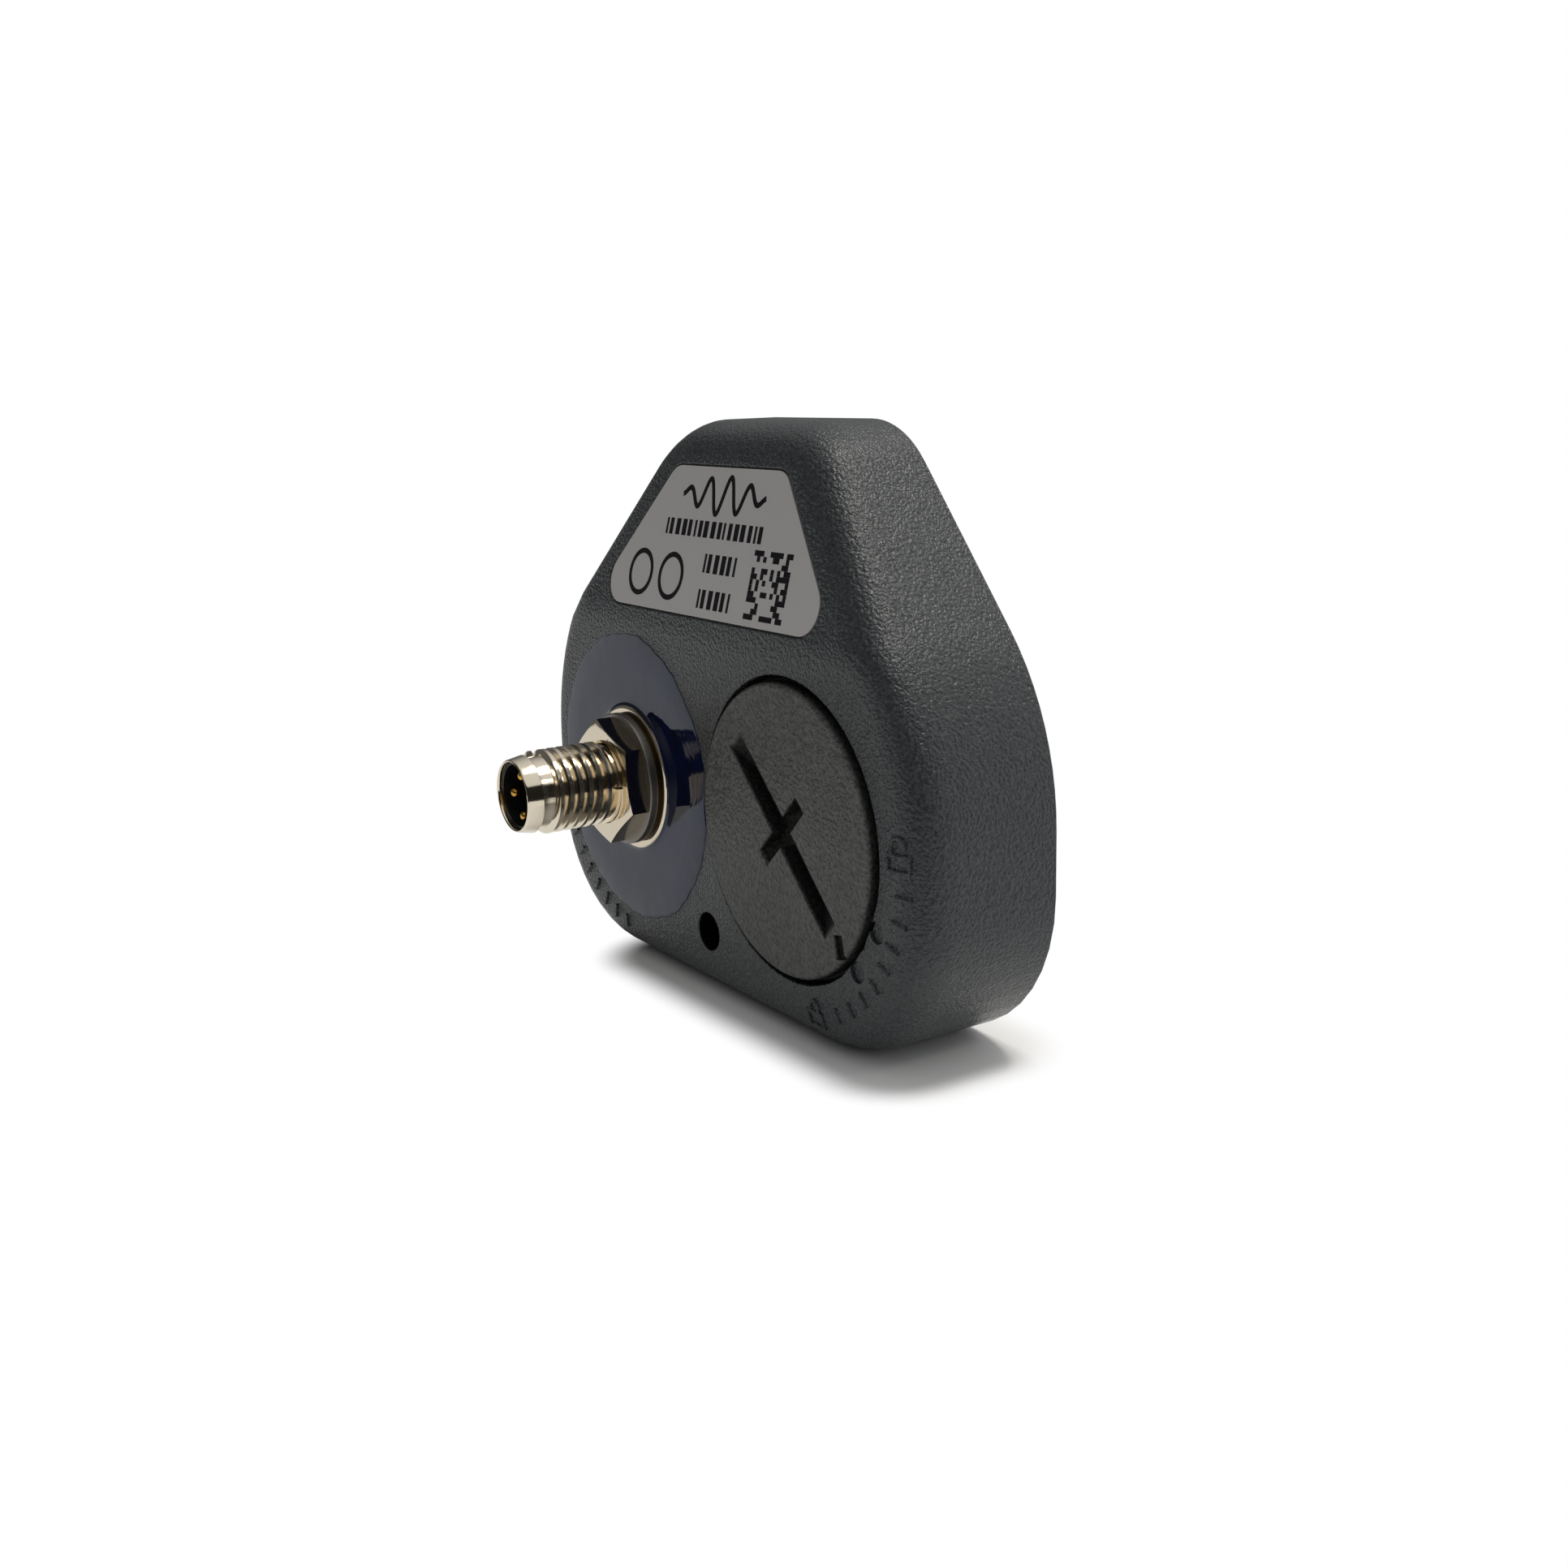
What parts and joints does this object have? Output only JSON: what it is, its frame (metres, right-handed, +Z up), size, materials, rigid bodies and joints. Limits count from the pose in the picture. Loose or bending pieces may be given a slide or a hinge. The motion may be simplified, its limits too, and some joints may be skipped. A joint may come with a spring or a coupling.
{
  "type": "vibration sensor tag",
  "caption": "Moulded sensor housing with a sloped upper front, a coin-slot bayonet battery cover and a threaded round plug connector set in a potted disc.",
  "frame": {"origin": "middle of the flat base, centred in the width and in the depth of the housing", "axes": "+Z up, the front with the connector and the battery cover faces -Y, +X to the right seen from the front"},
  "size_m": [0.064, 0.0273, 0.0526],
  "materials": {
    "housing": "dark grey moulded polymer with a spark-eroded grain",
    "cover": "dark grey moulded polymer, smooth matte",
    "seal": "black rubber",
    "foam": "closed-cell foam",
    "screw_steel": "stainless steel",
    "label": "bare silver-grey polyester label",
    "resin": "glossy dark blue cast resin",
    "nickel": "nickel-plated brass",
    "brass": "dull brass",
    "gilt": "gold-plated",
    "insulator": "black polymer",
    "cell_steel": "tinned or plated steel",
    "board": "green solder mask",
    "ceramic": "white ceramic",
    "capacitor": "amber moulded case"
  },
  "bodies": {
    "housing": {"front_housing": "housing", "rear_cover": "housing", "housing_gasket": "seal", "rear_screws": "screw_steel", "label_plate": "label", "potting_disc": "resin", "connector_shell": "nickel", "connector_insert": "insulator", "connector_pins": "gilt", "connector_nut": "nickel", "lock_washer": "nickel", "spacer_ring": "brass", "flat_washer": "nickel", "connector_seal": "seal", "pin_sleeves": "insulator", "coin_cell": "cell_steel", "negative_contact": "gilt", "positive_contact": "gilt", "circuit_board": "board", "board_screws": "screw_steel", "radio_module": "cell_steel", "chip_antenna": "ceramic", "microcontroller": "insulator", "accelerometer": "insulator", "storage_capacitor": "capacitor", "crystal": "cell_steel"},
    "cover": {"battery_cover": "cover", "cover_seal": "seal", "cell_pad": "foam"}
  },
  "joints": [
    {"name": "cover_turn", "type": "hinge", "parent": "housing", "child": "cover", "pos_m": [0.0135, -0.0072, 0.0187], "axis": [0, -1, 0], "range_deg": [0, 20]}
  ]
}
